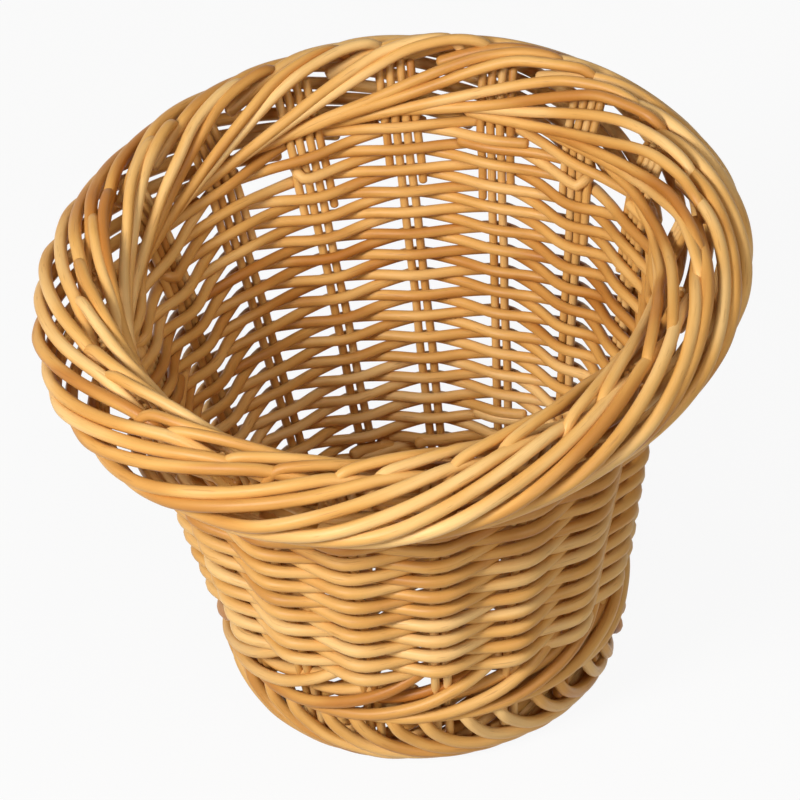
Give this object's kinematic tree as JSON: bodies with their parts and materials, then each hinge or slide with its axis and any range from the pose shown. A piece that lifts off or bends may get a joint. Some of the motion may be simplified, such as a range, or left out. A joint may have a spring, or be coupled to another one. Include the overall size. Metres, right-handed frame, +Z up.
{
  "type": "rattan basket",
  "caption": "Round woven rattan basket with flared sides, a slanting mouth, a wide rolled rim and a rolled foot.",
  "frame": {"origin": "middle of the foot ring, on the surface that the basket stands on", "axes": "+Z up; +Y towards the high side of the slanting rim, -Y towards its low side"},
  "size_m": [0.2023, 0.2024, 0.1565],
  "materials": {
    "stake_rattan": "satin",
    "weaver_rattan": "satin",
    "border_rattan": "satin",
    "base_rattan": "satin"
  },
  "bodies": {
    "root": {"stake_01": "stake_rattan", "rim_rod_01": "border_rattan", "foot_rod_01": "border_rattan", "stake_02": "stake_rattan", "rim_rod_02": "border_rattan", "foot_rod_02": "border_rattan", "stake_03": "stake_rattan", "rim_rod_03": "border_rattan", "foot_rod_03": "border_rattan", "stake_04": "stake_rattan", "rim_rod_04": "border_rattan", "foot_rod_04": "border_rattan", "stake_05": "stake_rattan", "rim_rod_05": "border_rattan", "foot_rod_05": "border_rattan", "stake_06": "stake_rattan", "rim_rod_06": "border_rattan", "foot_rod_06": "border_rattan", "stake_07": "stake_rattan", "rim_rod_07": "border_rattan", "foot_rod_07": "border_rattan", "stake_08": "stake_rattan", "rim_rod_08": "border_rattan", "foot_rod_08": "border_rattan", "stake_09": "stake_rattan", "rim_rod_09": "border_rattan", "foot_rod_09": "border_rattan", "stake_10": "stake_rattan", "rim_rod_10": "border_rattan", "foot_rod_10": "border_rattan", "stake_11": "stake_rattan", "rim_rod_11": "border_rattan", "foot_rod_11": "border_rattan", "stake_12": "stake_rattan", "rim_rod_12": "border_rattan", "foot_rod_12": "border_rattan", "stake_13": "stake_rattan", "rim_rod_13": "border_rattan", "foot_rod_13": "border_rattan", "stake_14": "stake_rattan", "rim_rod_14": "border_rattan", "foot_rod_14": "border_rattan", "stake_15": "stake_rattan", "rim_rod_15": "border_rattan", "foot_rod_15": "border_rattan", "stake_16": "stake_rattan", "rim_rod_16": "border_rattan", "foot_rod_16": "border_rattan", "stake_17": "stake_rattan", "rim_rod_17": "border_rattan", "foot_rod_17": "border_rattan", "weaver_1": "weaver_rattan", "weaver_2": "weaver_rattan", "weaver_3": "weaver_rattan", "weaver_4": "weaver_rattan", "weaver_5": "weaver_rattan", "short_row_weaver": "weaver_rattan", "top_weaver": "weaver_rattan", "base_sticks": "base_rattan", "base_weaver": "base_rattan"}
  },
  "joints": []
}
